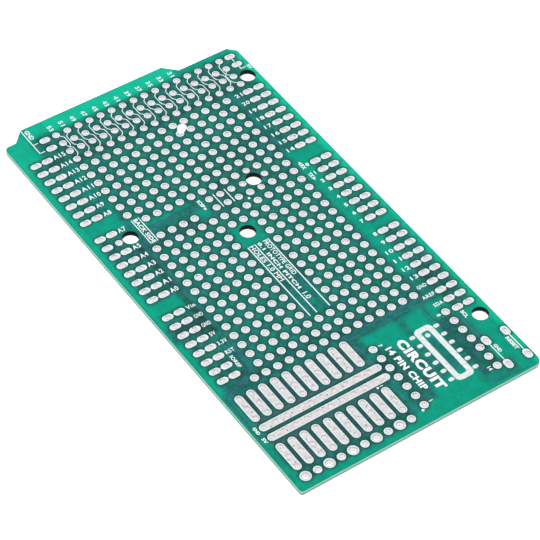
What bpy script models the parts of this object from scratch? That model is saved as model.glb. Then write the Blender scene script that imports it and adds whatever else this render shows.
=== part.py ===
"""Bare prototyping shield for a long-format microcontroller board, lying component side down.

The board is a sandwich. From the underside up: front solder mask, glass-epoxy laminate, copper
tracks, back solder mask. Bus bars, component strips and pads are islands of plated copper that go
through the laminate like rivets: a land on each side, joined by a barrel in every drilled hole.

Plane shapes are given in grid steps of 0.1 inch, as (column, row). Columns run along the length,
towards +X, and rows across it, towards +Y. Heights are in metres.
The origin is at the middle of the board's outline, on its underside.
"""

import math

import bmesh
import bpy
from mathutils import Vector
from mathutils.geometry import delaunay_2d_cdt

# The standard grid, and the edges of the routed outline, a little inside the nominal 40 by 21 steps.
GRID = 0.00254
LEFT_EDGE, RIGHT_EDGE = -1.93, 37.97
LOWER_EDGE, UPPER_EDGE = -4.03, 16.93
MIDDLE = Vector(((LEFT_EDGE + RIGHT_EDGE) / 2, (LOWER_EDGE + UPPER_EDGE) / 2))

# Heights through the board.
BOARD_THICKNESS = 0.0012
MASK_THICKNESS = 0.000030
COPPER_THICKNESS = 0.000035
FILM_GAP = 0.000010
CORE_INSET = MASK_THICKNESS + COPPER_THICKNESS + 2 * FILM_GAP
LAND_THICKNESS = CORE_INSET - FILM_GAP

# Screw holes, as (column, row).
SCREW_HOLES = ((2.5, 16.0), (12.0, 10.0), (16.2, 6.57), (12.0, -1.0), (32.0, 16.0))
SCREW_HOLE_RADIUS = 0.0016 / GRID
SCREW_HOLE_SIDES = 16

# Plated holes and lands, in grid steps.
BORE_RADIUS = 0.0005 / GRID
WIDE_BORE_RADIUS = 0.00065 / GRID
PLATING = 0.00005 / GRID
SIDE_GAP = FILM_GAP / GRID
BORE_SIDES = 8
LAND_SIDES = 8
LAND_RADIUS = 0.325
WIDE_LAND_RADIUS = 0.43
MASK_CLEARANCE = 0.03

# Where the plated parts sit.
STRIP_ROWS = range(-3, 7)
LEFT_STRIP_COLUMNS = (29, 30, 31)
RIGHT_STRIP_COLUMNS = (34, 35, 36)
GROUND_BUS_COLUMN = 32
FIVE_VOLT_BUS_COLUMN = 33
BUS_TOP_ROW = 6.75
END_PAD_COLUMN = 37
CHIP_COLUMNS = (30.5, 31.5, 32.5, 33.5, 34.5, 35.5, 36.5)
CHIP_LOWER_ROW, CHIP_UPPER_ROW = 7.5, 14.0
BUTTON_COLUMNS = (34.25, 36.8)
RESET_ROW, BUTTON_GROUND_ROW = 16.5, 14.75
BUTTON_LAND_REACH = 0.15
BUTTON_LAND_RADIUS = 0.3

# Copper tracks under the back mask, as (width, turning points).
TRACKS = {
    "reset_track": (0.2, ((12.1, 4.7), (12.1, 0.55), (13.25, -0.6), (27.6, -0.6))),
    "five_volt_feed_track": (
        0.26,
        ((23.2, -0.95), (27.15, -0.95), (28.07, -1.87), (28.07, -3.25), (28.57, -3.75), (32.86, -3.75)),
    ),
    "ground_feed_track": (0.42, ((28.65, 13.3), (28.65, 6.55))),
    "ground_bus_link_track": (0.2, ((28.9, 6.6), (31.64, 6.6))),
    "button_ground_track": (
        0.2,
        ((28.9, 12.8), (30.65, 12.8), (30.95, 13.1), (30.95, 14.42), (31.25, 14.72), (33.72, 14.72)),
    ),
}


# ---- plane shapes, as loops of (column, row) that run anticlockwise ----


def arc(centre, radius, start, end, sides):
    """Points on an arc, from one angle in degrees to the other, with both ends."""
    angles = (math.radians(start + (end - start) * i / sides) for i in range(sides + 1))
    return [(centre[0] + radius * math.cos(t), centre[1] + radius * math.sin(t)) for t in angles]


def circle(centre, radius, sides):
    return arc(centre, radius, 180 / sides, 360 + 180 / sides, sides)[:-1]


def slot(start, end, radius, end_sides):
    """A round-ended bar between two points that lie on one row or one column."""
    heading = math.degrees(math.atan2(end[1] - start[1], end[0] - start[0]))
    return arc(end, radius, heading - 90, heading + 90, end_sides) + arc(
        start, radius, heading + 90, heading + 270, end_sides
    )


def ribbon(points, width):
    """A band of one width that follows a line with mitred corners."""
    points = [Vector(point) for point in points]
    headings = [(b - a).normalized() for a, b in zip(points, points[1:])]
    left, right = [], []
    for i, point in enumerate(points):
        before, after = headings[max(i - 1, 0)], headings[min(i, len(headings) - 1)]
        across = (before + after).normalized().orthogonal()
        reach = 0.5 * width / across.dot(before.orthogonal())
        left.append(point + across * reach)
        right.append(point - across * reach)
    return right + left[::-1]


def board_outline(inset):
    """The outline, set in from the real edge: a stepped header end on the left, and worked corners."""
    shoulder_low, shoulder_high, shoulder_depth = -2.0, 10.8, 1.0
    header_corner, lower_corner, upper_corner = 0.4, 0.25, 0.55
    corner_cut, corner_sides = 0.62, 4
    step = inset * math.tan(math.radians(22.5))
    left, right = LEFT_EDGE + inset, RIGHT_EDGE - inset
    low, high = LOWER_EDGE + inset, UPPER_EDGE - inset
    header_left = left + shoulder_depth
    return [
        *arc((header_left + header_corner, low + header_corner), header_corner, 180, 270, corner_sides),
        *arc((right - lower_corner, low + lower_corner), lower_corner, -90, 0, corner_sides),
        *arc((right - upper_corner, high - upper_corner), upper_corner, 0, 90, corner_sides),
        (header_left - inset + corner_cut + step, high),
        (header_left, UPPER_EDGE - corner_cut - step),
        (header_left, shoulder_high + shoulder_depth - step),
        (left, shoulder_high - step),
        (left, shoulder_low + step),
        (header_left, shoulder_low - shoulder_depth + step),
    ]


# ---- the plated parts, whose outlines and holes the films and the laminate need too ----


def plated_parts():
    """Every plated island as {name: (bore centres, bore radius, outline grown by a margin)}."""
    parts = {}

    def bar(name, start, end, bores, land_radius=LAND_RADIUS, bore_radius=BORE_RADIUS):
        def grown(margin):
            return slot(start, end, land_radius + margin, LAND_SIDES // 2)

        parts[name] = (bores, bore_radius, grown)

    def pad(name, centre, land_radius=LAND_RADIUS, bore_radius=BORE_RADIUS):
        def grown(margin):
            return circle(centre, land_radius + margin, LAND_SIDES)

        parts[name] = ([centre], bore_radius, grown)

    for name, column in (("ground_bus", GROUND_BUS_COLUMN), ("five_volt_bus", FIVE_VOLT_BUS_COLUMN)):
        bores = [(column, row) for row in STRIP_ROWS]
        bar(name, bores[0], (column, BUS_TOP_ROW), bores)

    for side, columns in (("left", LEFT_STRIP_COLUMNS), ("right", RIGHT_STRIP_COLUMNS)):
        for number, row in enumerate(STRIP_ROWS, 1):
            bores = [(column, row) for column in columns]
            bar(f"strip_{side}_{number:02d}", bores[0], bores[-1], bores)

    for number, row in enumerate(STRIP_ROWS, 1):
        wide = number % 2 == 1
        size = (WIDE_LAND_RADIUS, WIDE_BORE_RADIUS) if wide else (LAND_RADIUS, BORE_RADIUS)
        pad(f"end_pad_{number:02d}", (END_PAD_COLUMN, row), *size)

    # Chip pins count anticlockwise from the lower right, as seen on this side.
    pins = [(column, CHIP_LOWER_ROW) for column in reversed(CHIP_COLUMNS)]
    pins += [(column, CHIP_UPPER_ROW) for column in CHIP_COLUMNS]
    for number, centre in enumerate(pins, 1):
        pad(f"chip_pad_{number:02d}", centre)

    for net, row in (("reset", RESET_ROW), ("ground", BUTTON_GROUND_ROW)):
        for number, column in enumerate(BUTTON_COLUMNS, 1):
            start, end = (column - BUTTON_LAND_REACH, row), (column + BUTTON_LAND_REACH, row)
            bar(f"{net}_button_pad_{number}", start, end, [(column, row)], BUTTON_LAND_RADIUS)
    return parts


# ---- mesh building ----


def add_ring(mesh, loop, height):
    """The loop's corners as vertices at one height, placed in metres."""
    placed = [(Vector(point) - MIDDLE) * GRID for point in loop]
    return [mesh.verts.new((point.x, point.y, height)) for point in placed]


def add_wall(mesh, lower, upper):
    """The upright wall between two rings. It faces out of an anticlockwise ring."""
    for i in range(len(lower)):
        mesh.faces.new((lower[i - 1], lower[i], upper[i], upper[i - 1]))


def add_face(mesh, rings, up):
    """The flat face inside the first ring and outside all the others."""
    corners = [corner for ring in rings for corner in ring]
    flat = [corner.co.xy / GRID for corner in corners]
    loops, start = [], 0
    for ring in rings:
        loops.append(list(range(start, start + len(ring))))
        start += len(ring)
    triangles_without_holes = 2
    _, _, faces, sources, _, _ = delaunay_2d_cdt(flat, [], loops, triangles_without_holes, 1e-6)
    for face in faces:
        picked = [corners[sources[i][0]] for i in face]
        a, b, c = (corner.co.xy for corner in picked)
        if ((b - a).cross(c - a) > 0) != up:
            picked.reverse()
        mesh.faces.new(picked)


def add_object(name, mesh, material):
    data = bpy.data.meshes.new(name)
    mesh.to_mesh(data)
    mesh.free()
    data.materials.append(material)
    placed = bpy.data.objects.new(name, data)
    bpy.context.scene.collection.objects.link(placed)
    return placed


def make_sheet(name, outline, holes, bottom, top, material):
    """A flat sheet of one thickness, with round or slotted openings."""
    mesh = bmesh.new()
    lower = [add_ring(mesh, loop, bottom) for loop in [outline, *holes]]
    upper = [add_ring(mesh, loop, top) for loop in [outline, *holes]]
    add_face(mesh, lower, up=False)
    add_face(mesh, upper, up=True)
    add_wall(mesh, lower[0], upper[0])
    for low, high in zip(lower[1:], upper[1:]):
        add_wall(mesh, low[::-1], high[::-1])
    return add_object(name, mesh, material)


def make_plated_part(name, outline, bores, bore_radius, material):
    """Two lands joined by an open barrel in each hole."""
    mesh = bmesh.new()
    barrel_radius = bore_radius + PLATING
    inner = [circle(centre, bore_radius, BORE_SIDES) for centre in bores]
    outer = [circle(centre, barrel_radius, BORE_SIDES) for centre in bores]
    underside, topside = 0.0, BOARD_THICKNESS
    low_land_top, high_land_bottom = LAND_THICKNESS, BOARD_THICKNESS - LAND_THICKNESS

    outline_rings = {z: add_ring(mesh, outline, z) for z in (underside, low_land_top, high_land_bottom, topside)}
    bore_rings = {z: [add_ring(mesh, loop, z) for loop in inner] for z in (underside, topside)}
    barrel_rings = {z: [add_ring(mesh, loop, z) for loop in outer] for z in (low_land_top, high_land_bottom)}

    add_face(mesh, [outline_rings[underside], *bore_rings[underside]], up=False)
    add_face(mesh, [outline_rings[low_land_top], *barrel_rings[low_land_top]], up=True)
    add_face(mesh, [outline_rings[high_land_bottom], *barrel_rings[high_land_bottom]], up=False)
    add_face(mesh, [outline_rings[topside], *bore_rings[topside]], up=True)
    add_wall(mesh, outline_rings[underside], outline_rings[low_land_top])
    add_wall(mesh, outline_rings[high_land_bottom], outline_rings[topside])
    for low, high in zip(barrel_rings[low_land_top], barrel_rings[high_land_bottom]):
        add_wall(mesh, low, high)
    for low, high in zip(bore_rings[underside], bore_rings[topside]):
        add_wall(mesh, low[::-1], high[::-1])
    return add_object(name, mesh, material)


def make_material(name, colour, roughness, metallic=0.0):
    material = bpy.data.materials.new(name)
    material.use_nodes = True
    shader = material.node_tree.nodes["Principled BSDF"]
    shader.inputs["Base Color"].default_value = (*colour, 1.0)
    shader.inputs["Roughness"].default_value = roughness
    shader.inputs["Metallic"].default_value = metallic
    return material


def main():
    for old in list(bpy.data.objects):
        bpy.data.objects.remove(old, do_unlink=True)

    laminate = make_material("laminate", (0.42, 0.66, 0.55), 0.6)
    mask = make_material("solder_mask", (0.0, 0.36, 0.26), 0.35)
    copper = make_material("copper", (0.72, 0.38, 0.22), 0.35, metallic=1.0)
    tin = make_material("tinned_copper", (0.86, 0.86, 0.85), 0.3, metallic=1.0)

    parts = plated_parts()
    holders = [circle(centre, SCREW_HOLE_RADIUS, SCREW_HOLE_SIDES) for centre in SCREW_HOLES]
    drilled = [
        circle(centre, bore_radius + PLATING + SIDE_GAP, BORE_SIDES)
        for bores, bore_radius, _ in parts.values()
        for centre in bores
    ]
    windows = [grown(MASK_CLEARANCE) for _, _, grown in parts.values()]

    core_bottom, core_top = CORE_INSET, BOARD_THICKNESS - CORE_INSET
    make_sheet("fr4_laminate", board_outline(0.0), holders + drilled, core_bottom, core_top, laminate)

    mask_outline = board_outline(0.02)
    make_sheet("front_solder_mask", mask_outline, holders + windows, 0.0, MASK_THICKNESS, mask)
    mask_bottom = BOARD_THICKNESS - MASK_THICKNESS
    make_sheet("back_solder_mask", mask_outline, holders + windows, mask_bottom, BOARD_THICKNESS, mask)

    track_top = mask_bottom - FILM_GAP
    for name, (width, points) in TRACKS.items():
        make_sheet(name, ribbon(points, width), [], track_top - COPPER_THICKNESS, track_top, copper)

    for name, (bores, bore_radius, grown) in parts.items():
        make_plated_part(name, grown(0.0), bores, bore_radius, tin)


main()
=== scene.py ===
"""Looks for the bare prototyping shield: mask film, tinned lands, printed legend, light and camera.

Plane positions are (column, row) in steps of the 0.1 inch grid, as in the CAD model. Columns run
along +X and rows along +Y. Everything rides on the one CAD body.
"""

import math
from itertools import chain, product

import bpy
import numpy as np
from mathutils import Matrix, Vector
from mathutils.geometry import delaunay_2d_cdt


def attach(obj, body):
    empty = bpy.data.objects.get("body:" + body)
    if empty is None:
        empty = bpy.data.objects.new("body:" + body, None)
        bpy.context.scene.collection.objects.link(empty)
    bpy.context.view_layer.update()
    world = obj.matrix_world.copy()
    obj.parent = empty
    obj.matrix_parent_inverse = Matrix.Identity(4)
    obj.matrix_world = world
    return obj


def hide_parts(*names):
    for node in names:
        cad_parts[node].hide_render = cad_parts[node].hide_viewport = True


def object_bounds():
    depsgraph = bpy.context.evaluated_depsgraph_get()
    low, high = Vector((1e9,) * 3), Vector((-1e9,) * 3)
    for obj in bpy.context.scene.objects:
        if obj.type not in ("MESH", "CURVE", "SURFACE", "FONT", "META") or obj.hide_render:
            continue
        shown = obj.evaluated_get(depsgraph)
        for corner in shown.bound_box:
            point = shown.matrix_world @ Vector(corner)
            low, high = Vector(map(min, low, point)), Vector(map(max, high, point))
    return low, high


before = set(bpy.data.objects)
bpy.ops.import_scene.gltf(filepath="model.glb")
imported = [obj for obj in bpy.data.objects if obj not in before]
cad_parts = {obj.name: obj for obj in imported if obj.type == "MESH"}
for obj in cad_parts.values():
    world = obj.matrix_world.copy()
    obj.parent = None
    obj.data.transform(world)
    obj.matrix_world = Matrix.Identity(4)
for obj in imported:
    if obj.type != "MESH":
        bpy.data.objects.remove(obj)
cad_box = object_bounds()

# ---- the grid and the heights, read from the CAD box ----

LOW, HIGH = Vector(cad_box[0]), Vector(cad_box[1])
LEFT_EDGE, RIGHT_EDGE, LOWER_EDGE, UPPER_EDGE = -1.93, 37.97, -4.03, 16.93
GRID = (HIGH.x - LOW.x) / (RIGHT_EDGE - LEFT_EDGE)
UNDERSIDE, TOP = LOW.z, HIGH.z
CORE_BOTTOM, CORE_TOP = UNDERSIDE + 0.000085, TOP - 0.000085
MASK_BOTTOM, MASK_TOP = UNDERSIDE + 0.00001, TOP - 0.00001
TRACK_TOP, TRACK_RELIEF = TOP - 0.000039, 0.000018
INK_BOTTOM, INK_TOP = MASK_TOP + 0.000001, MASK_TOP + 0.000028
LAND_FOOT, LAND_RIM, LAND_CROWN = TOP - 0.00008, TOP - 0.000004, TOP + 0.000016

# Sizes in the plane are in steps of the grid.
MM = 0.001 / GRID
SCREW_HOLES = ((2.5, 16.0), (12.0, 10.0), (16.2, 6.57), (12.0, -1.0), (32.0, 16.0))
SCREW_HOLE_RADIUS = 1.6 * MM
BORE_RADIUS = 0.5 * MM
WIDE_BORE_RADIUS = 0.65 * MM
PLATING = 0.05 * MM
LAND_RADIUS, WIDE_LAND_RADIUS, SMALL_LAND_RADIUS = 0.325, 0.43, 0.285
MASK_CLEARANCE, MASK_SCREW_CLEARANCE, MASK_EDGE_INSET = 0.03, 0.01, 0.02
TRACK_SLOPE = 0.06
ROUND_SIDES, SCREW_SIDES, BORE_SIDES = 20, 56, 16
FAR = 9.0

TRACKS = {
    "reset_track": (0.2, ((12.1, 4.7), (12.1, 0.55), (13.25, -0.6), (27.6, -0.6))),
    "five_volt_feed_track": (
        0.26,
        ((23.2, -0.95), (27.15, -0.95), (28.07, -1.87), (28.07, -3.25), (28.57, -3.75), (32.86, -3.75)),
    ),
    "ground_feed_track": (0.42, ((28.65, 13.3), (28.65, 6.55))),
    "ground_bus_link_track": (0.2, ((28.9, 6.6), (31.64, 6.6))),
    "button_ground_track": (
        0.2,
        ((28.9, 12.8), (30.65, 12.8), (30.95, 13.1), (30.95, 14.42), (31.25, 14.72), (33.72, 14.72)),
    ),
}

# ---- plane shapes: anticlockwise loops of (column, row) ----


def metres(column, row):
    """Where a plane position is, in metres along X and Y."""
    return LOW.x + (column - LEFT_EDGE) * GRID, LOW.y + (row - LOWER_EDGE) * GRID


def arc(centre, radius, start, end, sides):
    angles = (math.radians(start + (end - start) * i / sides) for i in range(sides + 1))
    return [(centre[0] + radius * math.cos(t), centre[1] + radius * math.sin(t)) for t in angles]


def circle(centre, radius, sides=ROUND_SIDES):
    return arc(centre, radius, 0, 360, sides)[:-1]


def slot(start, end, radius, end_sides=ROUND_SIDES // 2):
    """A round-ended bar between two points."""
    heading = math.degrees(math.atan2(end[1] - start[1], end[0] - start[0]))
    return [
        *arc(end, radius, heading - 90, heading + 90, end_sides),
        *arc(start, radius, heading + 90, heading + 270, end_sides),
    ]


def screw_loops(margin):
    return [circle(centre, SCREW_HOLE_RADIUS + margin, SCREW_SIDES) for centre in SCREW_HOLES]


def ribbon(points, width):
    """A band of one width that follows a line with mitred corners."""
    points = [Vector(point) for point in points]
    headings = [(b - a).normalized() for a, b in zip(points, points[1:])]
    left, right = [], []
    for i, point in enumerate(points):
        before, after = headings[max(i - 1, 0)], headings[min(i, len(headings) - 1)]
        across = (before + after).normalized().orthogonal()
        reach = 0.5 * width / across.dot(before.orthogonal())
        left.append(tuple(point + across * reach))
        right.append(tuple(point - across * reach))
    return right + left[::-1]


def eased(points, reach, sides=5):
    """A line with its corners rounded off, each over a stretch of reach on both sides."""
    points = [Vector(point) for point in points]
    line = [points[0]]
    for before, corner, after in zip(points, points[1:], points[2:]):
        start = corner + (before - corner).normalized() * reach
        end = corner + (after - corner).normalized() * reach
        for i in range(sides + 1):
            t = i / sides
            line.append(start.lerp(corner, t).lerp(corner.lerp(end, t), t))
    return line + [points[-1]]


def board_outline(inset):
    """The outline, set in from the real edge: a stepped header end on the left, and worked corners."""
    shoulder_low, shoulder_high, shoulder_depth = -2.0, 10.8, 1.0
    header_corner, lower_corner, upper_corner = 0.4, 0.25, 0.55
    corner_cut, corner_sides = 0.62, 8
    step = inset * math.tan(math.radians(22.5))
    left, right = LEFT_EDGE + inset, RIGHT_EDGE - inset
    low, high = LOWER_EDGE + inset, UPPER_EDGE - inset
    header_left = left + shoulder_depth
    return [
        *arc((header_left + header_corner, low + header_corner), header_corner, 180, 270, corner_sides),
        *arc((right - lower_corner, low + lower_corner), lower_corner, -90, 0, corner_sides),
        *arc((right - upper_corner, high - upper_corner), upper_corner, 0, 90, corner_sides),
        (header_left - inset + corner_cut + step, high),
        (header_left, UPPER_EDGE - corner_cut - step),
        (header_left, shoulder_high + shoulder_depth - step),
        (left, shoulder_high - step),
        (left, shoulder_low + step),
        (header_left, shoulder_low - shoulder_depth + step),
    ]


# ---- plated islands ----


class Island:
    """A plated piece of copper: the bars that its lands reach radius round, and the holes in it."""

    def __init__(self, bars, radius, bores, bore_radius=BORE_RADIUS, outline=None):
        self.bars = bars
        self.radius = radius
        self.bores = bores
        self.bore_radius = bore_radius
        self.made_outline = outline
        self.is_long = len(bores) > 2
        self.is_wide = radius > 0.4

    def outline(self, margin):
        if self.made_outline:
            return self.made_outline(margin)
        start, end = self.bars[0]
        if start == end:
            return circle(start, self.radius + margin)
        return slot(start, end, self.radius + margin)

    def between_bores(self):
        """Points on the land away from its holes, where there is room for any."""
        if self.is_wide:
            return circle(self.bores[0], self.bore_radius + 0.05, BORE_SIDES)
        if not self.is_long:
            return []
        stops, past_last_bore = list(self.bores), []
        bar_end = self.bars[0][1]
        if bar_end != stops[-1]:
            stops.append(bar_end)
            past_last_bore = circle(bar_end, 0.2, 8)
        return [
            tuple(Vector(start).lerp(Vector(end), along))
            for start, end in zip(stops, stops[1:])
            for along in (0.36, 0.5, 0.64)
        ] + past_last_bore


def round_island(column, row, radius, bore_radius=BORE_RADIUS):
    return Island([((column, row), (column, row))], radius, [(column, row)], bore_radius)


def oblong_island(column, row, radius, reach, along=(0, 1)):
    ends = [(column + side * reach * along[0], row + side * reach * along[1]) for side in (-1, 1)]
    return Island([tuple(ends)], radius, [(column, row)])


PAIR_RADIUS, PAIR_REACH, PAIR_NECK = 0.265, 0.185, 0.02


def pair_island(column, low_row):
    """Two oblong lands one step apart, joined by a thin neck: one header pin and the hole beside it."""

    def outline(margin):
        radius, half_gap = PAIR_RADIUS + margin, 0.5 - PAIR_REACH
        meeting = math.sqrt(max(radius**2 - half_gap**2, 0.0)) + 0.01
        neck = max(PAIR_NECK + margin, meeting)
        bend = math.degrees(math.asin(neck / radius))
        low, high = low_row, low_row + 1

        def end(row, side, start, stop, sides):
            return arc((column, row + side * PAIR_REACH), radius, start, stop, sides)

        return [
            *end(low, -1, 180, 360, 10),
            *end(low, 1, 0, 90 - bend, 5),
            *end(high, -1, -90 + bend, 0, 5),
            *end(high, 1, 0, 180, 10),
            *end(high, -1, 180, 270 - bend, 5),
            *end(low, 1, 90 + bend, 180, 5),
        ]

    bores = [(column, low_row), (column, low_row + 1)]
    bars = [((column, row - PAIR_REACH), (column, row + PAIR_REACH)) for _, row in bores]
    return Island(bars, PAIR_RADIUS, bores, outline=outline)


def strip_island(columns, row):
    bores = [(column, row) for column in columns]
    return Island([(bores[0], bores[-1])], LAND_RADIUS, bores)


STRIP_ROWS = range(-3, 7)


def cad_islands():
    """The islands that are CAD nodes, by node name."""
    islands = {}
    for name, column in (("ground_bus", 32), ("five_volt_bus", 33)):
        bores = [(column, row) for row in STRIP_ROWS]
        islands[name] = Island([(bores[0], (column, 6.75))], LAND_RADIUS, bores)
    for number, row in enumerate(STRIP_ROWS, 1):
        islands[f"strip_left_{number:02d}"] = strip_island((29, 30, 31), row)
        islands[f"strip_right_{number:02d}"] = strip_island((34, 35, 36), row)
        sizes = (WIDE_LAND_RADIUS, WIDE_BORE_RADIUS) if number % 2 else (LAND_RADIUS, BORE_RADIUS)
        islands[f"end_pad_{number:02d}"] = round_island(37, row, *sizes)
    pins = [(36.5 - i, 7.5) for i in range(7)] + [(30.5 + i, 14.0) for i in range(7)]
    for number, (column, row) in enumerate(pins, 1):
        islands[f"chip_pad_{number:02d}"] = round_island(column, row, LAND_RADIUS)
    for net, row in (("reset", 16.5), ("ground", 14.75)):
        for number, column in enumerate((34.25, 36.8), 1):
            islands[f"{net}_button_pad_{number}"] = oblong_island(column, row, 0.3, 0.15, along=(1, 0))
    return islands


def grid_pad_missing(column, row):
    """Where the field of grid pads leaves room for a screw hole, a label or a track."""
    return (
        (row == 0 and column in (11, 12, 13))
        or (1 <= row <= 4 and column == 12)
        or (row == 5 and column in (12, 13))
        or (row in (6, 7) and 16 <= column <= 25)
        or (row == 10 and column == 12)
    )


def grid_pads(columns):
    """The field of round pads, one solder point each."""
    beside_screw = {(11, 10), (13, 10), (12, 9), (12, 11)}
    pads = []
    for column in columns:
        for row in range(14):
            if grid_pad_missing(column, row):
                continue
            if (column, row) in beside_screw:
                pads.append(round_island(column, row, SMALL_LAND_RADIUS))
            elif column in (12, 13) and row in (6, 7, 8):
                pads.append(round_island(column - 0.05, row, 0.305))
            else:
                pads.append(round_island(column, row, LAND_RADIUS))
    if 28 in columns:
        pads.append(round_island(28, -1, LAND_RADIUS))
    return pads


def header_end_pads():
    pads = [round_island(column, row, 0.3) for column in range(4) for row in range(16)]
    return pads + [oblong_island(column, row, 0.27, 0.175) for column in (0, 1) for row in (-1, 16)]


def analog_pairs():
    columns = [*range(2, 10), 11, *range(13, 19), *range(20, 28)]
    return [pair_island(column, -3) for column in columns] + [
        round_island(12, -2, SMALL_LAND_RADIUS),
        oblong_island(12, -3, PAIR_RADIUS, PAIR_REACH),
    ]


def digital_pairs():
    columns = [*range(4, 12), *range(13, 21), *(21.6 + i for i in range(10))]
    return [pair_island(column, 15) for column in columns]


CAD_ISLANDS = cad_islands()
PAD_GROUPS = {
    "header_end_pads": header_end_pads(),
    "grid_pads_left": grid_pads(range(4, 12)),
    "grid_pads_middle": grid_pads(range(12, 21)),
    "grid_pads_right": grid_pads(range(21, 29)),
    "analog_header_pads": analog_pairs(),
    "digital_header_pads": digital_pairs(),
}
ISLANDS = [*CAD_ISLANDS.values(), *chain(*PAD_GROUPS.values())]

# ---- mesh building ----


def add_object(name, data):
    made = bpy.data.objects.new(name, data)
    bpy.context.scene.collection.objects.link(made)
    return made


class Shape:
    """Points in metres and faces, gathered for one piece."""

    def __init__(self):
        self.points, self.faces = [], []

    def add_points(self, plane_points, heights):
        start = len(self.points)
        self.points += [(*metres(*place), height) for place, height in zip(plane_points, heights)]
        return list(range(start, len(self.points)))

    def ring(self, loop, height):
        return self.add_points(loop, [height] * len(loop))

    def wall(self, lower, upper):
        """Faces between two rings, facing out of an anticlockwise ring with upper above lower."""
        for i in range(len(lower)):
            self.faces.append((lower[i - 1], lower[i], upper[i], upper[i - 1]))

    def stack(self, rings, inward=False):
        for lower, upper in zip(rings, rings[1:]):
            if inward:
                self.wall(lower[::-1], upper[::-1])
            else:
                self.wall(lower, upper)

    def fill(self, rings, up, extra=()):
        """The face inside the first ring and outside the others, with extra points joined in."""
        corners = [*chain(*rings), *extra]
        flat = [Vector(self.points[i][:2]) / GRID for i in corners]
        numbers = iter(range(len(corners)))
        loops = [[next(numbers) for _ in ring] for ring in rings]
        triangles_without_holes = 2
        _, _, faces, sources, _, _ = delaunay_2d_cdt(flat, [], loops, triangles_without_holes, 1e-5)
        for face in faces:
            picked = [corners[sources[i][0]] for i in face]
            a, b, c = (Vector(self.points[i][:2]) for i in picked)
            if ((b - a).cross(c - a) > 0) != up:
                picked.reverse()
            self.faces.append(tuple(picked))

    def sheet(self, outer, holes=(), over=(), under=()):
        """A plate with holes, from the rings of each, lowest first, and extra points of its two faces."""
        self.stack(outer)
        for hole in holes:
            self.stack(hole, inward=True)
        self.fill([outer[0], *(hole[0] for hole in holes)], up=False, extra=under)
        self.fill([outer[-1], *(hole[-1] for hole in holes)], up=True, extra=over)

    def add_mesh(self, mesh, matrix):
        start = len(self.points)
        self.points += [tuple(matrix @ corner.co) for corner in mesh.vertices]
        self.faces += [tuple(start + i for i in face.vertices) for face in mesh.polygons]

    def plane_points(self):
        points = np.array(self.points)
        return (points[:, :2] - (LOW.x, LOW.y)) / GRID + (LEFT_EDGE, LOWER_EDGE)

    def piece(self, name, material, slot_name=None, replaces=(), smooth=30):
        mesh = bpy.data.meshes.new(name)
        mesh.from_pydata(self.points, [], self.faces)
        mesh.validate()
        mesh.materials.append(material)
        mesh.shade_smooth()
        mesh.set_sharp_from_angle(angle=math.radians(smooth))
        made = add_object(name, mesh)
        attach(made, "root")
        if replaces:
            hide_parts(*replaces)
        return made


def set_attributes(piece, **attributes):
    for name, values in attributes.items():
        layer = piece.data.attributes.new(name, "FLOAT", "POINT")
        layer.data.foreach_set("value", np.asarray(values, dtype=np.float32))


# ---- distances in the plane ----


def segment_distance(points, start, end):
    start, end = np.array(start, float), np.array(end, float)
    along = end - start
    length_squared = max(along @ along, 1e-12)
    t = np.clip(((points - start) @ along) / length_squared, 0, 1)
    return np.linalg.norm(points - start - t[:, None] * along, axis=1)


def land_distance(points):
    """How far each point is from the nearest land's edge."""
    nearest = np.full(len(points), FAR)
    for island in ISLANDS:
        for start, end in island.bars:
            reach = island.radius + 1.0
            low = np.minimum(start, end) - reach
            high = np.maximum(start, end) + reach
            near = np.all((points > low) & (points < high), axis=1)
            found = segment_distance(points[near], start, end) - island.radius
            nearest[near] = np.minimum(nearest[near], found)
    return nearest


def screw_distance(points):
    """How far each point is from the nearest screw hole's edge."""
    away = np.linalg.norm(points[:, None] - np.array(SCREW_HOLES), axis=2)
    return away.min(axis=1) - SCREW_HOLE_RADIUS


def track_distance(points):
    """How far each point is past the nearest track's edge, below 0 over a track."""
    nearest = np.full(len(points), FAR)
    for width, line in TRACKS.values():
        for start, end in zip(line, line[1:]):
            nearest = np.minimum(nearest, segment_distance(points, start, end) - width / 2)
    return nearest


def fade(distance, reach):
    """1 at no distance, falling smoothly to 0 at reach."""
    left = np.clip(1 - distance / reach, 0, 1)
    return left * left * (3 - 2 * left)


def soft_box(points, box, blur):
    """1 inside a box of (first column, last column, first row, last row), fading over blur."""
    ends = np.reshape(box, (2, 2))
    middle, half = ends.mean(axis=1), np.ptp(ends, axis=1) / 2
    return fade(np.linalg.norm(np.maximum(np.abs(points - middle) - half, 0), axis=1), blur)


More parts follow.
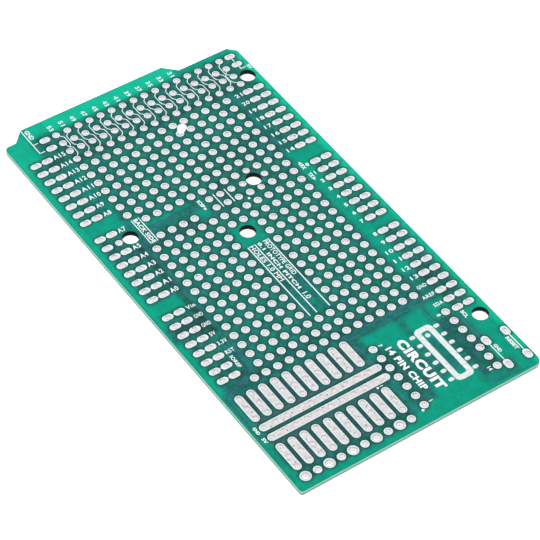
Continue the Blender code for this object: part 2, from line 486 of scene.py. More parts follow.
# Painted shade on the mask, where copper on the component side darkens the light that comes
# through the laminate. Each row is (first column, last column, first row, last row, blur, strength).
BARE_SHADE = 0.2
SHADED_BOXES = (
    # Header end.
    (0.0, 3.2, -1.9, 14.4, 0.5, 0.44),
    (1.2, 2.7, -0.4, 13.4, 0.7, 0.18),
    (0.0, 3.3, 14.4, 16.2, 0.5, 0.35),
    (-1.8, -0.1, -1.9, -0.4, 0.3, 0.35),
    # Field of grid pads.
    (3.2, 28.0, -0.5, 13.3, 0.5, 0.33),
    (8.1, 11.2, 6.2, 13.6, 0.4, 0.18),
    (11.0, 14.0, -0.4, 13.0, 0.4, 0.08),
    (12.1, 12.9, 6.3, 8.4, 0.5, 0.3),
    (13.2, 13.9, 0.0, 4.2, 0.4, 0.3),
    (17.6, 22.4, 5.3, 7.9, 0.5, 0.3),
    (22.4, 25.6, 5.3, 7.6, 0.5, 0.12),
    (27.1, 27.8, -0.3, 9.8, 0.4, 0.3),
    (28.0, 29.0, -3.2, 13.2, 0.4, 0.36),
    (27.4, 28.2, -3.3, -1.0, 0.5, 0.2),
    # Digital header row.
    (3.6, 10.8, 13.3, 14.2, 0.4, 0.3),
    (3.6, 10.8, 13.98, 14.08, 0.3, 0.35),
    (3.6, 11.0, 14.2, 16.1, 0.4, 0.38),
    (13.0, 20.3, 14.9, 16.0, 0.4, 0.4),
    (21.6, 30.6, 14.9, 16.0, 0.4, 0.36),
    (26.6, 28.7, 13.6, 15.9, 0.8, 0.38),
    (26.0, 30.4, 14.0, 15.0, 0.4, 0.2),
    # Analog header row.
    (1.9, 9.0, -3.1, -0.9, 0.4, 0.36),
    (11.0, 18.2, -3.1, -0.9, 0.4, 0.44),
    (19.9, 28.0, -3.1, -0.9, 0.4, 0.4),
    (13.2, 22.9, -1.1, -0.85, 0.3, 0.7),
    (21.0, 22.9, -1.6, -0.9, 0.3, 0.5),
    (21.1, 22.2, -4.0, -1.2, 0.45, 0.6),
    (20.0, 27.0, -4.0, -3.4, 0.5, 0.05),
    # Component strips and bus bars.
    (28.2, 32.6, -4.0, -3.3, 0.4, 0.14),
    (33.0, 36.5, -4.0, -3.4, 0.5, 0.14),
    (35.9, 37.2, -3.1, 6.0, 0.35, 0.55),
    (29.1, 31.6, 6.2, 7.1, 0.4, 0.4),
    (31.8, 33.1, 6.0, 7.6, 0.4, 0.68),
    (33.3, 36.6, 6.1, 7.4, 0.4, 0.35),
    # Chip area.
    (31.0, 36.2, 7.7, 8.5, 0.5, 0.6),
    (31.8, 35.2, 8.5, 9.6, 0.7, 0.45),
    (32.2, 35.0, 9.8, 12.6, 0.9, 0.42),
    (31.2, 36.4, 12.9, 14.2, 0.5, 0.62),
    (29.2, 30.9, 10.6, 10.7, 0.5, 0.36),
    (36.4, 38.0, 12.6, 15.2, 0.6, 0.25),
)
STRIPS_BOX = (29.0, 36.0, -3.1, 6.1)
# Painted light on the mask: brighter where no copper lies on either side, and where the board's edge
# catches the light.
LIT_BOXES = (
    (-0.5, 16.0, 16.6, 17.1, 0.5, 0.9),
    (16.0, 38.0, 16.7, 17.1, 0.4, 0.7),
    (1.0, 28.0, -4.1, -3.75, 0.3, 0.3),
    (-1.93, -0.9, -1.6, 11.0, 0.7, 0.8),
    (-0.9, 2.0, -4.0, -2.6, 0.8, 0.4),
    (15.7, 17.4, 5.7, 7.3, 0.6, 0.5),
    (11.3, 11.6, 0.6, 4.2, 0.3, 0.4),
    (12.7, 13.1, 4.4, 5.1, 0.4, 0.5),
)


def halo_of(points, reach):
    """Painted shade round a land: 1 at the mask's edge round it, falling to 0 at reach."""
    return np.clip(1 - (land_distance(points) - MASK_CLEARANCE) / reach, 0, 1)


def shade_of(points):
    """How much painted shade the mask has: 0 where it is brightest, towards 1 in the darkest places."""
    light = np.full(len(points), 1 - BARE_SHADE)
    for *box, blur, strength in SHADED_BOXES:
        light *= 1 - strength * soft_box(points, box, blur)
    shade = 1 - light
    for *box, blur, strength in LIT_BOXES:
        shade *= 1 - strength * soft_box(points, box, blur)
    return shade


# ---- materials ----


class Nodes:
    """A short way to write a material's node tree."""

    def __init__(self, name):
        self.material = bpy.data.materials.new(name)
        self.material.use_nodes = True
        self.tree = self.material.node_tree
        self.shader = self.tree.nodes["Principled BSDF"]

    def feed(self, socket, value):
        """Sets a socket to a number, colour or vector, or links another node's output to it."""
        if isinstance(value, (int, float)):
            socket.default_value = value
        elif isinstance(value, tuple):
            socket.default_value = (*value, 1.0)[: len(socket.default_value)]
        else:
            self.tree.links.new(value, socket)

    def node(self, kind, inputs=None, **settings):
        made = self.tree.nodes.new(kind)
        for key, value in settings.items():
            setattr(made, key, value)
        for key, value in (inputs or {}).items():
            self.feed(made.inputs[key], value)
        return made

    def attribute(self, name):
        return self.node("ShaderNodeAttribute", attribute_name=name).outputs["Fac"]

    def place(self, stretch=(1, 1, 1)):
        """Object coordinates in millimetres, times stretch."""
        coordinates = self.node("ShaderNodeTexCoord").outputs["Object"]
        scale = tuple(1000 * factor for factor in stretch)
        return self.node("ShaderNodeMapping", {"Vector": coordinates, "Scale": scale}).outputs["Vector"]

    def noise(self, scale, detail=3.0, roughness=0.55, stretch=(1, 1, 1)):
        values = {"Vector": self.place(stretch), "Scale": scale, "Detail": detail, "Roughness": roughness}
        return self.node("ShaderNodeTexNoise", values).outputs["Fac"]

    def pits(self, scale, radius):
        """1 in small scattered spots, which only some cells of the surface have."""
        values = {"Vector": self.place(), "Scale": scale}
        cells = self.node("ShaderNodeTexVoronoi", values, voronoi_dimensions="2D")
        chance = self.node("ShaderNodeSeparateColor", {0: cells.outputs["Color"]}).outputs[0]
        spot = self.span(cells.outputs["Distance"], 0.9, 0.0, 0.6 * radius, radius)
        return self.maths("MULTIPLY", spot, self.maths("GREATER_THAN", chance, 0.3))

    def ramp(self, factor, stops):
        made = self.node("ShaderNodeValToRGB", {"Fac": factor})
        elements = made.color_ramp.elements
        while len(elements) < len(stops):
            elements.new(0.5)
        for element, (position, colour) in zip(elements, stops):
            element.position = position
            element.color = (*colour, 1.0)
        return made.outputs["Color"]

    def span(self, factor, low, high, start=0.0, end=1.0):
        """The factor, with its range from start to end turned into low to high."""
        values = {"Value": factor, "From Min": start, "From Max": end, "To Min": low, "To Max": high}
        return self.node("ShaderNodeMapRange", values).outputs["Result"]

    def mix(self, factor, first, second, blend="MIX"):
        values = {0: factor, 6: first, 7: second}
        return self.node("ShaderNodeMix", values, data_type="RGBA", blend_type=blend).outputs[2]

    def maths(self, operation, first, second):
        return self.node("ShaderNodeMath", {0: first, 1: second}, operation=operation).outputs[0]

    def tint(self, factors):
        """A colour to multiply by, from a factor for each of red, green and blue."""
        return self.node("ShaderNodeCombineColor", dict(enumerate(factors))).outputs[0]

    def bump(self, height, strength, distance_mm):
        values = {"Height": height, "Strength": strength, "Distance": distance_mm / 1000}
        self.feed(self.shader.inputs["Normal"], self.node("ShaderNodeBump", values).outputs["Normal"])

    def finish(self, **values):
        for key, value in values.items():
            self.feed(self.shader.inputs[key.replace("_", " ")], value)
        return self.material


def mask_material():
    """Glossy green solder mask with painted shade: brightest over bare laminate, darker over copper,
    painted shade round the lands and between the strips, and painted highlights on the tracks' edges.
    """
    n = Nodes("green_solder_mask")
    shade = n.attribute("shade")
    base = n.ramp(
        shade,
        (
            (0.0, (0.006, 0.5, 0.315)),
            (0.2, (0.003, 0.31, 0.205)),
            (0.5, (0.01, 0.185, 0.152)),
            (0.75, (0.014, 0.125, 0.106)),
            (1.0, (0.014, 0.055, 0.055)),
        ),
    )
    layers = (
        # Painted shade and a grey painted reflection between the strips.
        ("between_strips", 1.0, (0.042, 0.152, 0.148)),
        ("track", 0.6, (0.014, 0.112, 0.125)),
        # Painted highlights along the tracks' edges.
        ("track_rim", 0.42, (0.055, 0.19, 0.2)),
        # Painted shade round the lands.
        ("halo", 0.85, (0.022, 0.042, 0.044)),
    )
    for attribute, strength, colour in layers:
        base = n.mix(n.maths("MULTIPLY", n.attribute(attribute), strength), base, colour)
    grain = n.span(n.noise(1.9, 3.0, 0.75), 0.78, 1.22, 0.35, 0.65)
    brightness = n.maths("MULTIPLY", n.span(n.noise(0.55, 2.0), 0.8, 1.2, 0.35, 0.65), grain)
    hue = n.noise(0.75, 2.0)
    clouds = n.tint(
        n.maths("MULTIPLY", brightness, n.span(hue, low, high, 0.35, 0.65))
        for low, high in ((0.6, 1.6), (1.1, 0.9), (0.9, 1.12))
    )
    colour = n.mix(n.span(shade, 0.25, 1.0, 0.15, 0.55), base, clouds, "MULTIPLY")
    weave = {"Vector": n.place(), "Scale": 0.62, "Distortion": 0.6}
    warp, weft = (n.node("ShaderNodeTexWave", weave, bands_direction=way) for way in "XY")
    cloth = n.maths("ADD", warp.outputs["Fac"], weft.outputs["Fac"])
    n.bump(n.maths("ADD", cloth, n.noise(3.0, 2.0)), 0.35, 0.004)
    roughness = n.span(n.noise(1.2, 3.0), 0.3, 0.42)
    return n.finish(Base_Color=colour, Roughness=roughness, Specular_IOR_Level=0.04)


def tin_material():
    """Levelled tin: bright and uneven, with a painted reflection of the green mask at the rim, duller
    towards each hole, painted shade round each hole's mouth, painted light in the holes, and a few dark
    specks.
    """
    n = Nodes("levelled_tin")
    core, bore = n.attribute("core"), n.attribute("bore")
    blotches = n.noise(2.2, 3.0, 0.7)
    # Cyan towards the rim, as a painted reflection of the green mask; warmer towards each hole.
    face = n.ramp(
        n.maths("ADD", core, n.span(n.noise(1.6, 2.0), -0.3, 0.3, 0.3, 0.7)),
        (
            (0.0, (0.81, 0.895, 0.89)),
            (0.3, (0.81, 0.875, 0.87)),
            (0.6, (0.815, 0.83, 0.825)),
            (1.0, (0.81, 0.79, 0.79)),
        ),
    )
    dulling = n.span(n.attribute("dull"), 1.0, 0.9)
    mottle = n.tint(
        n.maths("MULTIPLY", dulling, n.span(blotches, low, high, 0.32, 0.68))
        for low, high in ((0.82, 1.14), (0.72, 1.18), (0.76, 1.15))
    )
    worn = n.mix(1.0, face, mottle, "MULTIPLY")
    # Painted reflection of the green mask, strongest at the rim.
    green_reflection = n.mix(n.maths("MULTIPLY", n.attribute("rim"), 0.8), worn, (0.62, 1.0, 1.0))
    # Painted shade: a dark, broken ring round each hole's mouth.
    breaks = n.span(n.noise(1.7, 2.0), 0.35, 1.0, 0.42, 0.58)
    broken_shade_ring = n.maths("MULTIPLY", n.attribute("lip"), breaks)
    mouth_shaded = n.mix(broken_shade_ring, green_reflection, (0.2, 0.2, 0.21))
    # Scattered dark specks near the holes.
    away_from_rim = n.span(core, 0.0, 1.0, 0.2, 0.45)
    pits = n.maths("MULTIPLY", away_from_rim, n.pits(0.66, 0.11))
    specked = n.mix(pits, mouth_shaded, (0.11, 0.08, 0.09))
    n.bump(n.noise(2.2, 3.0), 0.5, 0.02)
    return n.finish(
        # Painted light: the holes' barrels near white, as if light came through them.
        Base_Color=n.mix(bore, specked, (1.0, 0.945, 0.97)),
        Metallic=n.span(bore, 0.45, 0.05),
        Roughness=n.span(blotches, 0.28, 0.45),
    )


def laminate_material():
    """Glass-epoxy laminate: cut edges in fine layers, darker at the underside, screw-hole walls painted
    near black as shade, and flat faces painted dark as shade round the lands.
    """
    n = Nodes("glass_epoxy")
    height_mm = n.node("ShaderNodeSeparateXYZ", {0: n.place()}).outputs["Z"]
    thickness_mm = (TOP - UNDERSIDE) * 1000
    layers = n.ramp(
        n.maths("DIVIDE", height_mm, thickness_mm),
        (
            (0.02, (0.13, 0.18, 0.15)),
            (0.22, (0.19, 0.27, 0.22)),
            (0.45, (0.24, 0.42, 0.34)),
            (0.72, (0.24, 0.54, 0.43)),
            (0.94, (0.14, 0.46, 0.35)),
        ),
    )
    plies = n.span(n.noise(0.9, 3.0, 0.7, stretch=(0.5, 0.5, 9.0)), 0.72, 1.22)
    edge = n.mix(1.0, layers, n.tint([plies] * 3), "MULTIPLY")
    normal = n.node("ShaderNodeNewGeometry").outputs["True Normal"]
    facing_up = n.node("ShaderNodeSeparateXYZ", {0: normal}).outputs["Z"]
    flat = n.maths("GREATER_THAN", n.maths("ABSOLUTE", facing_up, 0.0), 0.5)
    # Painted shade: the screw holes' walls near black.
    cut = n.mix(n.attribute("drilled"), edge, (0.002, 0.005, 0.005))
    # Painted shade: the flat faces, seen only in the narrow gaps round the lands, dark.
    colour = n.mix(flat, cut, (0.006, 0.04, 0.036))
    n.bump(n.noise(1.5, 4.0, 0.7, stretch=(1, 1, 5)), 0.6, 0.03)
    return n.finish(Base_Color=colour, Roughness=0.6, Specular_IOR_Level=0.1)


def ink_material():
    n = Nodes("white_ink")
    n.bump(n.noise(6.0, 2.0), 0.4, 0.006)
    colour = n.ramp(n.noise(2.5, 3.0, 0.6), ((0.35, (0.86, 0.97, 0.96)), (0.6, (0.95, 1.0, 1.0))))
    return n.finish(Base_Color=colour, Roughness=0.55, Specular_IOR_Level=0.35)


def copper_material():
    n = Nodes("bare_copper")
    n.bump(n.noise(4.0, 2.0), 0.4, 0.004)
    colour = n.ramp(n.noise(1.0, 3.0), ((0.3, (0.6, 0.28, 0.16)), (0.7, (0.78, 0.42, 0.26))))
    return n.finish(Base_Color=colour, Roughness=0.35, Metallic=1.0)


# ---- the board ----


def add_laminate(material):
    heights = np.linspace(CORE_BOTTOM, CORE_TOP, 5)
    shape = Shape()
    outline_rings = [shape.ring(board_outline(0.0), z) for z in heights]
    screw_rings = [[shape.ring(loop, z) for z in heights] for loop in screw_loops(0.0)]
    bore_rings = []
    for island in ISLANDS:
        for bore in island.bores:
            loop = circle(bore, island.bore_radius + PLATING, BORE_SIDES)
            bore_rings.append([shape.ring(loop, z) for z in (CORE_BOTTOM, CORE_TOP)])
    shape.sheet(outline_rings, screw_rings + bore_rings)
    piece = shape.piece("laminate_core", material, "laminate", ["fr4_laminate"])
    # Marks the screw holes' walls for their painted shade.
    in_hole = np.zeros(len(shape.points))
    for rings in screw_rings:
        in_hole[list(chain(*rings))] = 1.0
    set_attributes(piece, drilled=in_hole)


def halo_points():
    """Points round every land, so that the mask's painted shade and relief can change close to it."""
    return chain(*(island.outline(margin)[::2] for island in ISLANDS for margin in (0.075, 0.135)))


def field_points():
    step = 0.25
    columns = np.arange(LEFT_EDGE + step / 2, RIGHT_EDGE, step)
    return product(columns, np.arange(LOWER_EDGE + step / 2, UPPER_EDGE, step))


def track_points():
    """Points along both edges of each track, so that its relief and its painted bright edges stay crisp.
    """
    points = []
    for width, line in TRACKS.values():
        for start, end in zip(line, line[1:]):
            start, end = Vector(start), Vector(end)
            heading = (end - start).normalized()
            across = heading.orthogonal()
            count = max(2, round((end - start).length / 0.12))
            for i in range(count + 1):
                for reach in (-TRACK_SLOPE, 0.0, TRACK_SLOPE, 2 * TRACK_SLOPE):
                    for side in (-1, 1):
                        away = across * side * (width / 2 + reach)
                        points.append(tuple(start.lerp(end, i / count) + away))
    return points


def inside_board(points, margin):
    """True where a point is on the board, at least margin from every edge, hole and land."""
    corners = np.array(board_outline(0.0))
    inside, from_edge = np.zeros(len(points), bool), np.full(len(points), FAR)
    for start, end in zip(corners, np.roll(corners, -1, axis=0)):
        from_edge = np.minimum(from_edge, segment_distance(points, start, end))
        crosses = (start[1] > points[:, 1]) != (end[1] > points[:, 1])
        rise = (end[1] - start[1]) or 1.0
        reach = start[0] + (points[:, 1] - start[1]) / rise * (end[0] - start[0])
        inside ^= crosses & (points[:, 0] < reach)
    return (
        inside
        & (from_edge > margin)
        & (screw_distance(points) > margin)
        & (land_distance(points) > margin + MASK_CLEARANCE)
    )


def spread(points, spacing):
    """Drops each point that lies too close to one before it."""
    kept, cells = [], {}
    for point in points:
        i, j = math.floor(point[0] / spacing), math.floor(point[1] / spacing)
        around = product((i - 1, i, i + 1), (j - 1, j, j + 1))
        near = chain(*(cells.get(cell, ()) for cell in around))
        if all(math.dist(point, other) >= spacing for other in near):
            kept.append(point)
            cells.setdefault((i, j), []).append(point)
    return kept


def add_back_mask(material):
    """The film that is seen: rounded over at its edges, and raised a little over the tracks."""
    lip, spacing = 0.018, 0.045
    bottom, shoulder = CORE_TOP, MASK_TOP - 0.000012
    shape = Shape()

    def rings(wall_loop, lip_loop):
        loops = ((wall_loop, bottom), (wall_loop, shoulder), (lip_loop, MASK_TOP))
        return [shape.ring(loop, height) for loop, height in loops]

    rim = rings(board_outline(MASK_EDGE_INSET), board_outline(MASK_EDGE_INSET + lip))
    holes = [
        rings(island.outline(MASK_CLEARANCE), island.outline(MASK_CLEARANCE + lip)) for island in ISLANDS
    ]
    holes += map(rings, screw_loops(MASK_SCREW_CLEARANCE), screw_loops(MASK_SCREW_CLEARANCE + lip))

    inner = np.array(spread([*track_points(), *halo_points(), *field_points()], spacing))
    inner = inner[inside_board(inner, spacing)]
    relief = fade(track_distance(inner), TRACK_SLOPE)
    tops = shape.add_points(inner, MASK_TOP + TRACK_RELIEF * relief)
    by_track = relief > 0.0
    pockets = shape.add_points(inner[by_track], np.where(relief[by_track] > 0.4, TRACK_TOP, bottom))
    shape.sheet(rim, holes, over=tops, under=pockets)

    piece = shape.piece("back_mask_film", material, "solder_mask", ["back_solder_mask"], smooth=50)
    places = shape.plane_points()
    past_track = track_distance(places)
    # Painted shadow in a line just beside each track, merged into the painted shade round the lands.
    shadow_beside_track = 0.35 * fade(np.abs(past_track - 0.12), 0.08)
    set_attributes(
        piece,
        halo=np.maximum(halo_of(places, 0.2) ** 1.3, shadow_beside_track),
        shade=shade_of(places),
        between_strips=soft_box(places, STRIPS_BOX, 0.35),
        track=fade(past_track, TRACK_SLOPE),
        track_rim=fade(np.abs(past_track), 0.07),
    )


def add_front_mask(material):
    """The film underneath, which is flat."""
    shape = Shape()
    loops = [board_outline(MASK_EDGE_INSET), *(island.outline(MASK_CLEARANCE) for island in ISLANDS)]
    loops += screw_loops(MASK_SCREW_CLEARANCE)
    outer, *holes = [[shape.ring(loop, z) for z in (MASK_BOTTOM, CORE_BOTTOM)] for loop in loops]
    shape.sheet(outer, holes)
    piece = shape.piece("front_mask_film", material, "solder_mask", ["front_solder_mask"])
    places = shape.plane_points()
    # Painted shade: an even shade over the whole film, darker round the lands.
    set_attributes(piece, halo=halo_of(places, 0.16), shade=np.full(len(places), 0.35))


# ---- tinned islands ----


MARKS = ("bore", "throat", "lip", "core", "ring", "between", "crown", "rim")


def mirrored(height):
    """The height that mirrors one on the back of the board."""
    return TOP + UNDERSIDE - height


def add_island(shape, island, marks):
    """One island: domed lands on both faces, and a barrel in every hole.

    marks gathers the points by what they are, for the material.
    """
    profile = ((0.0, LAND_FOOT), (0.0, LAND_RIM - 0.000012), (-0.015, LAND_RIM), (-0.04, LAND_CROWN))
    mouth = ((0.022, LAND_CROWN), (0.01, LAND_RIM), (0.0, LAND_FOOT), (0.0, TOP - 0.0003))

    def rings(outline, steps):
        loops = [(outline(margin), height) for margin, height in steps]
        above = [shape.ring(loop, height) for loop, height in loops]
        return above, [shape.ring(loop, max(mirrored(height), UNDERSIDE)) for loop, height in loops]

    upper, lower = rings(island.outline, profile)
    upper_mouths, lower_mouths, feet, low_feet = [], [], [], []
    for bore in island.bores:
        above, below = rings(lambda margin: circle(bore, island.bore_radius + margin, BORE_SIDES), mouth)
        shape.stack(above[::-1], inward=True)
        shape.stack(below, inward=True)
        shape.wall(below[-1][::-1], above[-1][::-1])
        upper_mouths.append(above[0])
        lower_mouths.append(below[0])
        plated = circle(bore, island.bore_radius + PLATING, BORE_SIDES)
        feet.append(shape.ring(plated, LAND_FOOT))
        low_feet.append(shape.ring(plated, mirrored(LAND_FOOT)))
        shape.wall(low_feet[-1], feet[-1])
        for crown, edge, throat, deep in (above, below):
            marks["bore"] += deep
            marks["throat"] += throat
            marks["lip"] += edge + throat
            marks["core"] += crown + edge + throat
    shape.stack(upper)
    shape.stack(lower[::-1])
    between = island.between_bores()
    top_extra, low_extra = shape.ring(between, LAND_CROWN), shape.ring(between, UNDERSIDE)
    shape.fill([upper[-1], *upper_mouths], up=True, extra=top_extra)
    shape.fill([lower[-1], *lower_mouths], up=False, extra=low_extra)
    shape.fill([upper[0], *feet], up=False)
    shape.fill([lower[0], *low_feet], up=True)
    marks["rim"] += chain(*upper[:3])
    marks["crown"] += upper[3]
    marks["ring" if island.is_wide else "between"] += top_extra + low_extra


def add_islands(name, islands, material, replaces=()):
    shape = Shape()
    marks = {mark: [] for mark in MARKS}
    for island in islands:
        add_island(shape, island, marks)
    piece = shape.piece(name, material, "tinned_copper", replaces, smooth=40)
    values = {mark: np.zeros(len(shape.points)) for mark in MARKS}
    for mark, corners in marks.items():
        values[mark][corners] = 1.0
    is_wide = islands[0].is_wide
    # Painted light: how bright the holes and their mouths are painted.
    bore_painted_light, throat_painted_light, mouth_shade_ring = (0.78, 0.4, 0.15) if is_wide else (1.0, 0.35, 0.0)
    is_dull = is_wide or islands[0].is_long
    set_attributes(
        piece,
        bore=bore_painted_light * values["bore"] + throat_painted_light * values["throat"],
        # Painted shade round each hole's mouth, with a fainter ring of it on wide lands.
        lip=values["lip"] + mouth_shade_ring * values["ring"],
        core=values["core"] + 0.6 * values["between"] + 0.7 * values["ring"],
        # Where the painted reflection of the green mask lies, strongest at the rim.
        rim=values["rim"] + 0.5 * values["crown"],
        dull=np.full(len(shape.points), float(is_dull)),
    )


# ---- printed legend ----


def ink_plate(shape, loop):
    shape.sheet([shape.ring(loop, height) for height in (INK_BOTTOM, INK_TOP)])


def ink_text(shape, text, centre, size, weight=0.035, spacing=1.0, turned=False):
    """Lettering of size (length, cap height), or of its own length where that is None.

    Turned text reads along +Y.
    """
    curve = bpy.data.curves.new("lettering", "FONT")
    curve.body = text
    curve.offset = weight
    curve.space_character = spacing
    curve.resolution_u = 3
    curve.extrude = 0.01
    carrier = add_object("lettering", curve)
    bpy.context.view_layer.update()
    mesh = bpy.data.meshes.new_from_object(carrier.evaluated_get(bpy.context.evaluated_depsgraph_get()))
    corners = np.array([corner.co for corner in mesh.vertices])
    low, high = corners.min(axis=0), corners.max(axis=0)
    length, cap, depth = high - low
    thickness = INK_TOP - INK_BOTTOM
    rise = size[1] * GRID / cap
    run = size[0] * GRID / length if size[0] else rise
    scale = (run, rise, thickness / depth)
    middle = Vector(((low + high) / 2).tolist())
    turn = Matrix.Rotation(math.pi / 2 if turned else 0.0, 4, "Z")
    place = Matrix.Translation((*metres(*centre), INK_BOTTOM + thickness / 2))
    matrix = place @ turn @ Matrix.Diagonal((*scale, 1.0)) @ Matrix.Translation(-middle)
    shape.add_mesh(mesh, matrix)
    bpy.data.objects.remove(carrier, do_unlink=True)
    bpy.data.curves.remove(curve)
    bpy.data.meshes.remove(mesh)


def turned_label(shape, text, column, end_row, step, cap, from_top=False):
    """A pin name beside its pad that reads along +Y, from end_row or up to it."""
    width = step * len(text) - 0.04
    middle = end_row - width / 2 if from_top else end_row + width / 2
    ink_text(shape, text, (column, middle), (width, cap), 0.018, 1.15, turned=True)


def add_pin_names(material):
    digital_row, serial_row = 14.42, 13.83
    shape = Shape()
    analog_columns = (*range(2, 10), 11, *range(13, 19))
    analog_numbers = (*range(15, 6, -1), *range(5, -1, -1))
    for column, number in zip(analog_columns, analog_numbers):
        turned_label(shape, f"A{number}", column, -1.46, 0.345, 0.43)
    for column, name in enumerate(("Vin", "GND", "GND", "5V", "3.3V", "RST"), 20):
        turned_label(shape, name, column, -1.4, 0.2 if "." in name else 0.25, 0.36)
    ink_text(shape, "IOREF", (26.05, -1.26), (1.2, 0.28), 0.024)

    upper_numbers = [(column, 25 - column) for column in range(4, 12)]
    upper_numbers += [(21.6 + i, 8 + i) for i in range(6)]
    for column, number in upper_numbers:
        turned_label(shape, str(number), column, digital_row, 0.33, 0.37, from_top=True)
    for number in range(8):
        length = None if number == 1 else 0.27
        ink_text(shape, str(number), (13 + number, 14.24), (length, 0.34), turned=True)
    for column, name in ((27.6, "GND"), (28.6, "AREF"), (29.6, "SDA")):
        turned_label(shape, name, column, digital_row, 0.28, 0.33, from_top=True)
    ink_text(shape, "SCL", (31.42, 15.0), (0.75, 0.3))
    for row in range(12):
        ink_text(shape, str(53 - 2 * row), (-0.85, row), (0.58, 0.37), 0.016, 1.15)

    for name, column, tip, base in (("RX", 13.05, 12.42, 12.72), ("TX", 14.05, 14.66, 14.36)):
        ink_text(shape, name, (column, serial_row), (0.5, 0.32))
        half_width = math.copysign(0.16, tip - base)
        corners = ((tip, 0), (base, half_width), (base, -half_width))
        ink_plate(shape, [(place, serial_row + aside) for place, aside in corners])
    shape.piece("legend_pin_names", material)


# Text, centre, (length, cap height), then weight and spacing where they aren't the usual ones.
TITLES = (
    ("BACK SIDE", (12.02, 0.23), (2.74, 0.34), 0.03, 1.08),
    ("ICSP", (12.05, 5.2), (0.82, 0.3)),
    ("PROTOTYPE GRID", (19.6, 7.06), (3.95, 0.38), 0.012, 1.05),
    ("0.1 INCH PITCH", (20.25, 6.56), (5.3, 0.3), 0.035, 1.1),
    ("1.0", (23.72, 6.58), (0.64, 0.42), 0.012),
    ("HOLES 1.0 MM", (19.6, 5.92), (4.0, 0.38), 0.012, 1.05),
    ("8", (30.5, 13.38), (None, 0.32), 0.02),
    ("14", (36.45, 13.37), (None, 0.32), 0.02),
    ("7", (30.5, 8.12), (None, 0.32), 0.02),
    ("1", (36.45, 8.1), (None, 0.32), 0.02),
    ("1", (33.5, 6.0), (None, 0.26)),
    ("GND", (32.0, -3.6), (0.72, 0.26)),
    ("5V", (33.0, -3.6), (0.5, 0.26)),
    ("GND", (-1.1, -1.72), (1.05, 0.36), 0.02),
    ("5V", (1.75, 16.68), (0.5, 0.26)),
    ("RESET", (35.45, 16.18), (1.3, 0.3)),
    ("GND", (35.25, 15.02), (0.8, 0.27)),
    ("CIRCUIT", (33.45, 9.54), (5.2, 0.8), 0.055, 1.12),
    ("14 PIN CHIP", (33.2, 8.46), (4.5, 0.54), 0.045, 1.1),
)
RULES = (
    ((10.62, 0.54), (13.36, 0.54)),
    ((10.62, -0.06), (13.36, -0.06)),
    ((11.68, 7.5), (13.18, 7.5)),
    ((11.68, 6.5), (13.18, 6.5)),
    ((-1.85, -2.05), (1.06, -2.05)),
    ((0.0, -2.05), (0.0, -1.6)),
    ((1.02, -2.05), (1.02, -1.6)),
    ((1.3, 16.0), (1.6, 16.0), (1.6, 16.42)),
    ((0.34, 16.0), (0.66, 16.0)),
    ((34.72, 14.74), (36.33, 14.74)),
)
BROAD_RULES = (
    ((17.6, 7.37), (25.45, 7.37)),
    ((17.6, 6.22), (25.45, 6.22)),
    ((17.6, 5.62), (25.45, 5.62)),
    ((34.72, 16.5), (36.33, 16.5)),
)
DOTS = (((13.5, 8.55), 0.1), ((36.85, 7.12), 0.11), ((33.52, 5.68), 0.09))


def add_titles(material):
    shape = Shape()
    for title in TITLES:
        ink_text(shape, *title)
    for lines, width in ((RULES, 0.07), (BROAD_RULES, 0.08)):
        for line in lines:
            ink_plate(shape, ribbon(line, width))
    for centre, radius in DOTS:
        ink_plate(shape, circle(centre, radius, 14))
    ink_plate(shape, [(12.78, 5.2), (12.54, 5.34), (12.54, 5.06)])
    shape.piece("legend_titles", material)


def add_route_lines(material):
    """Printed lines that show which header-end pads are joined."""
    shape = Shape()
    for row in range(16):
        below = [(0.28, row - 0.14), (0.52, row - 0.4), (1.5, row - 0.4), (1.76, row - 0.16)]
        above = [(1.24, row + 0.16), (1.5, row + 0.42), (2.5, row + 0.42), (2.74, row + 0.18)]
        if row == 0:
            below = [(0.24, 0.18), (0.46, 0.42), (1.4, 0.42), (1.74, 0.16)]
            above = [(1.3, 0.1), (1.55, 0.14), (1.8, 0.42), (2.5, 0.42), (2.74, 0.18)]
        elif row == 15:
            above = [(1.26, 14.86), (1.6, 14.5), (2.4, 14.5), (2.76, 14.84)]
        for line in (below, above):
            ink_plate(shape, ribbon(eased(line, 0.16), 0.055))
    shape.piece("legend_route_lines", material)


def add_chip_mark(material):
    """A plain sign of a chip with its pins, in bare tinned copper, where the board names its maker."""
    left, right, low, high, corner, stroke, bevel = 30.72, 36.18, 10.78, 12.34, 0.42, 0.44, 0.04
    profile = ((0.0, MASK_TOP - 0.00001), (0.0, LAND_RIM), (bevel, LAND_CROWN))
    pin_radius, pin_gap, pin_end, pins = 0.16, 0.06, 10.25, 6
    shape = Shape()

    def body(inset):
        radius = corner - inset * 0.5
        inwards = inset + radius
        near, far = (left + inwards, low + inwards), (right - inwards, high - inwards)
        loop = []
        for i, centre in enumerate(((far[0], near[1]), far, (near[0], far[1]), near)):
            loop += arc(centre, radius, 90 * i - 90, 90 * i, 6)
        return loop

    def add_plate(outline):
        shape.sheet([shape.ring(outline(inset), height) for inset, height in profile])

    outer = [shape.ring(body(inset), height) for inset, height in profile]
    inner = [shape.ring(body(stroke - inset), height) for inset, height in profile[::-1]]
    shape.stack([*outer, *inner])
    shape.wall(inner[-1], outer[0])

    middle = (low + high) / 2
    for i in range(pins):
        column = left + (right - left) * (i + 0.5) / pins
        for side in (-1, 1):
            start = (column, middle + side * (middle - low + pin_gap + pin_radius))
            end = (column, middle + side * (middle - pin_end - pin_radius))
            add_plate(lambda inset: slot(start, end, pin_radius - inset, 8))
    add_plate(lambda inset: circle((left + 0.85, middle), 0.2 - inset))
    piece = shape.piece("generic_chip_mark", material, "tinned_copper", smooth=40)
    set_attributes(piece, core=np.full(len(shape.points), 0.15))


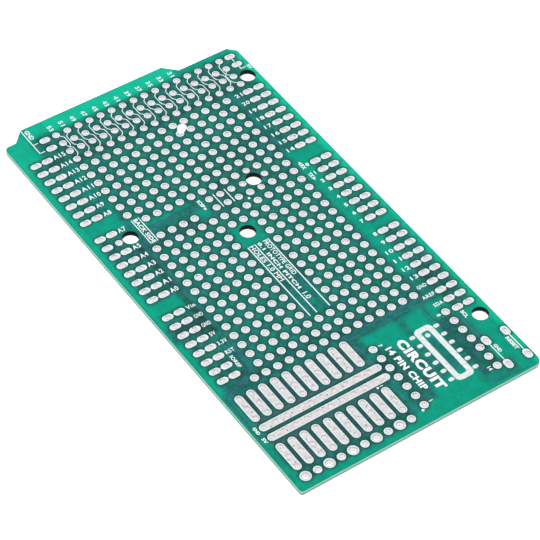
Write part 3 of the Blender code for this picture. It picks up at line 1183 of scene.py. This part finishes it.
def add_white_dab(material):
    """The small white dab that lies across two grid pads, thick at one end."""
    thick_end, thin_end = (4.53, 8.5), (4.83, 8.2)
    thick_radius, thin_radius = 0.37, 0.27
    profile = ((0.0, -0.00001), (0.0, 0.00003), (0.05, 0.00008), (0.14, 0.00012))
    heading = math.degrees(math.atan2(thin_end[1] - thick_end[1], thin_end[0] - thick_end[0]))
    shape = Shape()
    rings = []
    for inset, height in profile:
        loop = arc(thin_end, thin_radius - inset, heading - 80, heading + 80, 10)
        loop += arc(thick_end, thick_radius - inset, heading + 80, heading + 280, 14)
        rings.append(shape.ring(loop, TOP + height))
    shape.sheet(rings)
    shape.piece("white_dab", material, smooth=60)


# ---- stage ----


def add_floor():
    reach = 3.0
    mesh = bpy.data.meshes.new("floor")
    corners = ((-reach, -reach), (reach, -reach), (reach, reach), (-reach, reach))
    mesh.from_pydata([(*corner, UNDERSIDE) for corner in corners], [], [(0, 1, 2, 3)])
    pale = Nodes("pale_floor").finish(
        Base_Color=(0.9, 0.9, 0.9),
        Roughness=0.9,
        Specular_IOR_Level=0.0,
        Emission_Color=(1.0, 1.0, 1.0),
        Emission_Strength=0.6,
    )
    mesh.materials.append(pale)
    floor = add_object("floor", mesh)


def add_key_light():
    light = bpy.data.lights.new("key", "AREA")
    light.shape = "DISK"
    light.size = 0.5
    light.energy = 2.0
    lamp = add_object("key", light)
    heading = Vector((-0.6, -0.9, 1.2)).normalized()
    lamp.location = heading * 0.9
    lamp.rotation_euler = heading.to_track_quat("Z", "Y").to_euler()


def add_camera():
    """A long lens that looks down over the near corner, turned a little off level."""
    azimuth, elevation, roll = (math.radians(angle) for angle in (53.031, 47.95, 2.767))
    distance = 0.46515
    look = Vector((*metres(20.268, 5.729), TOP))
    level_reach = math.cos(elevation)
    back = Vector(
        (math.sin(azimuth) * level_reach, -math.cos(azimuth) * level_reach, math.sin(elevation))
    )
    camera = bpy.data.cameras.new("camera")
    camera.sensor_width = 36.0
    camera.lens = 167.79
    camera.clip_start, camera.clip_end = 0.01, 20.0
    holder = add_object("camera", camera)
    holder.location = look + back * distance
    level = back.to_track_quat("Z", "Y")
    holder.rotation_mode = "QUATERNION"
    holder.rotation_quaternion = level @ Matrix.Rotation(roll, 3, "Z").to_quaternion()
    bpy.context.scene.camera = holder


def add_world():
    world = bpy.data.worlds.new("studio")
    world.use_nodes = True
    background = world.node_tree.nodes["Background"]
    background.inputs["Color"].default_value = (1.0, 1.0, 1.0, 1.0)
    background.inputs["Strength"].default_value = 0.95
    bpy.context.scene.world = world
    bpy.context.scene.view_settings.view_transform = "Standard"


def main():
    mask, laminate, tin = mask_material(), laminate_material(), tin_material()
    ink, copper = ink_material(), copper_material()
    add_laminate(laminate)
    add_back_mask(mask)
    add_front_mask(mask)
    for node, island in CAD_ISLANDS.items():
        add_islands(f"{node}_tinned", [island], tin, [node])
    for name, islands in PAD_GROUPS.items():
        add_islands(name, islands, tin)
    for name in TRACKS:
        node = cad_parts[name]
        node.data.materials.clear()
        node.data.materials.append(copper)
    add_pin_names(ink)
    add_titles(ink)
    add_route_lines(ink)
    add_chip_mark(tin)
    add_white_dab(ink)
    add_floor()
    add_key_light()
    add_camera()
    add_world()


main()
